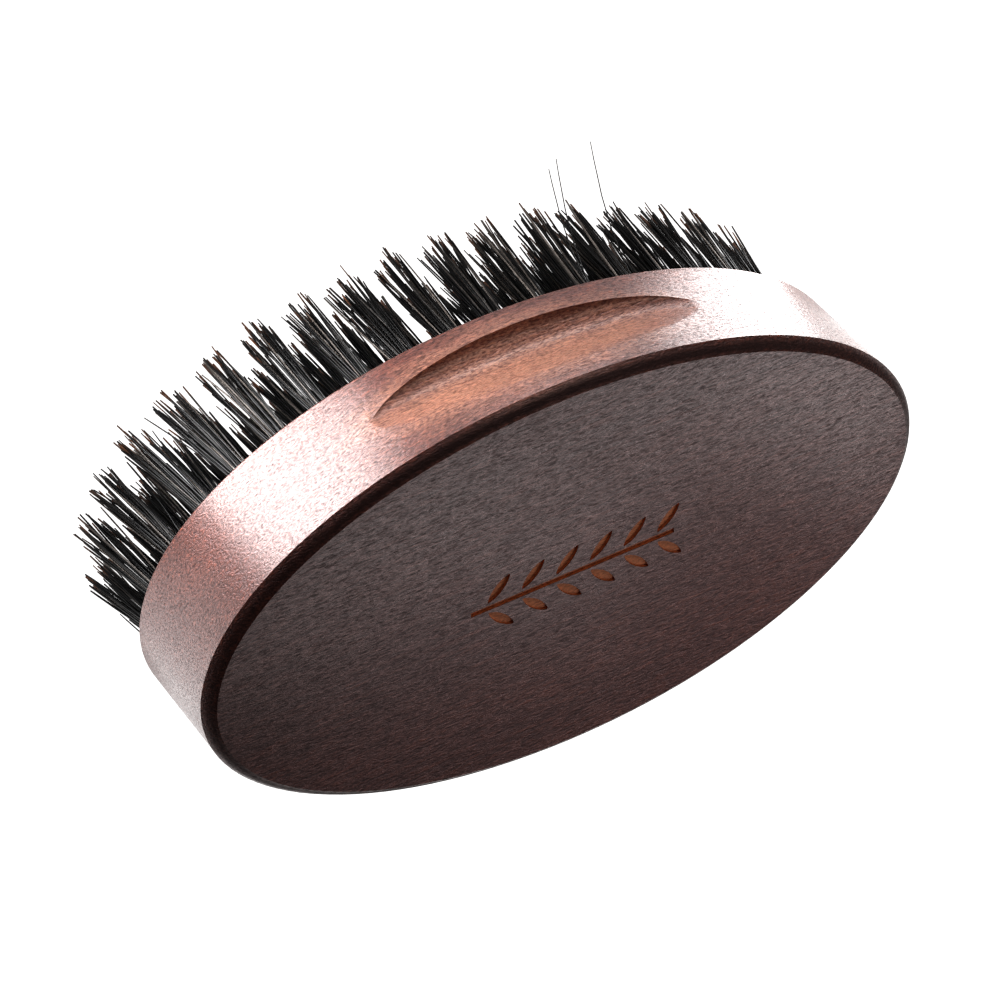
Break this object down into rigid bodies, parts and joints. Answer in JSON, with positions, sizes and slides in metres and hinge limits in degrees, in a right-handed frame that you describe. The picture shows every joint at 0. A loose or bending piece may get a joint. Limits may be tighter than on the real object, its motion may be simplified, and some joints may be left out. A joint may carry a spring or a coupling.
{
  "type": "beard brush",
  "caption": "Palm-sized oval beard brush: flat-backed stained wood block with a finger groove in each long side and tufts of dark bristle on its front face.",
  "frame": {"origin": "centre of the object's footprint, on the plane of the bristle tips", "axes": "+X along the oval's long axis, +Y across it towards one finger groove, +Z from the bristle tips to the flat back face"},
  "size_m": [0.096, 0.054, 0.0364],
  "materials": {
    "stained_wood": "dark brown stain, satin lacquer",
    "bristle": "natural black and grey bristle with brown split tips"
  },
  "bodies": {
    "root": {"wood_block": "stained_wood", "tuft_outer_01": "bristle", "tuft_outer_02": "bristle", "tuft_outer_03": "bristle", "tuft_outer_04": "bristle", "tuft_outer_05": "bristle", "tuft_outer_06": "bristle", "tuft_outer_07": "bristle", "tuft_outer_08": "bristle", "tuft_outer_09": "bristle", "tuft_outer_10": "bristle", "tuft_outer_11": "bristle", "tuft_outer_12": "bristle", "tuft_outer_13": "bristle", "tuft_outer_14": "bristle", "tuft_outer_15": "bristle", "tuft_outer_16": "bristle", "tuft_outer_17": "bristle", "tuft_outer_18": "bristle", "tuft_outer_19": "bristle", "tuft_outer_20": "bristle", "tuft_outer_21": "bristle", "tuft_outer_22": "bristle", "tuft_outer_23": "bristle", "tuft_outer_24": "bristle", "tuft_outer_25": "bristle", "tuft_outer_26": "bristle", "tuft_outer_27": "bristle", "tuft_outer_28": "bristle", "tuft_outer_29": "bristle", "tuft_outer_30": "bristle", "tuft_outer_31": "bristle", "tuft_outer_32": "bristle", "tuft_outer_33": "bristle", "tuft_outer_34": "bristle", "tuft_outer_35": "bristle", "tuft_outer_36": "bristle", "tuft_ring_2": "bristle", "tuft_ring_3": "bristle", "tuft_ring_4": "bristle", "tuft_centre_row": "bristle"}
  },
  "joints": []
}
